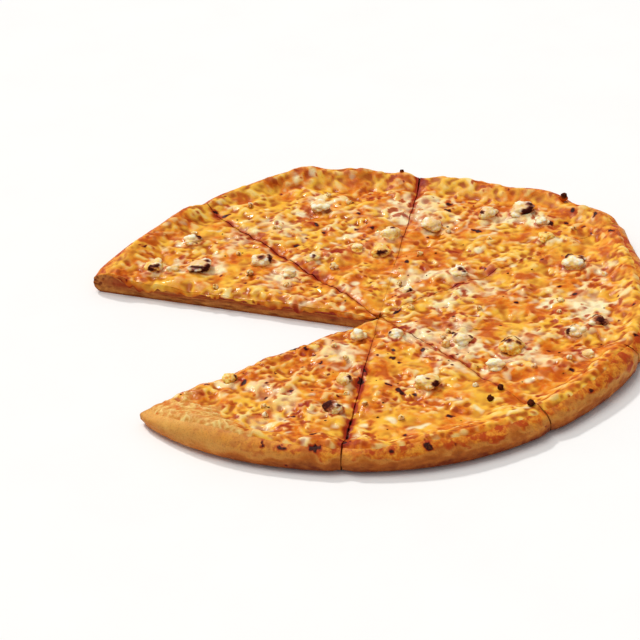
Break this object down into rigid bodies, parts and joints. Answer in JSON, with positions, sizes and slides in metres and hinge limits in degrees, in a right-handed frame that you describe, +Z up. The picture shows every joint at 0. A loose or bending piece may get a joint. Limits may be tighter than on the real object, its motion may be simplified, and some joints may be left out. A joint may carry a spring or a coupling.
{
  "type": "cheese pizza",
  "caption": "Round baked pizza with a raised rim, melted mixed cheeses and chunks of white cheese, cut into wedges, with one wedge taken.",
  "frame": {"origin": "middle of the round on its flat underside", "axes": "+Z up out of the melted cheese; -X towards the slot of the taken wedge, and +Y towards the rim on its left as seen from the slot looking in"},
  "size_m": [0.3452, 0.3564, 0.0214],
  "materials": {
    "crust": "baked dough, golden brown",
    "sauce": "moist tomato sauce",
    "cheese": "melted, browned, oily sheen",
    "feta": "crumbly white cheese, scorched in places"
  },
  "bodies": {
    "root": {"crust_1": "crust", "sauce_1": "sauce", "cheese_1": "cheese", "crust_2": "crust", "sauce_2": "sauce", "cheese_2": "cheese", "crust_3": "crust", "sauce_3": "sauce", "cheese_3": "cheese", "crust_4": "crust", "sauce_4": "sauce", "cheese_4": "cheese", "crust_5": "crust", "sauce_5": "sauce", "cheese_5": "cheese", "crust_6": "crust", "sauce_6": "sauce", "cheese_6": "cheese", "crust_7": "crust", "sauce_7": "sauce", "cheese_7": "cheese", "feta_01": "feta", "feta_02": "feta", "feta_03": "feta", "feta_04": "feta", "feta_05": "feta", "feta_06": "feta", "feta_07": "feta", "feta_08": "feta", "feta_09": "feta", "feta_10": "feta", "feta_11": "feta", "feta_12": "feta", "feta_13": "feta", "feta_14": "feta", "feta_15": "feta", "feta_16": "feta", "feta_17": "feta", "feta_18": "feta", "feta_19": "feta", "feta_20": "feta", "feta_21": "feta", "feta_22": "feta", "feta_23": "feta", "feta_24": "feta", "feta_25": "feta", "feta_26": "feta", "feta_27": "feta", "feta_28": "feta", "feta_29": "feta", "feta_30": "feta", "feta_31": "feta"}
  },
  "joints": []
}
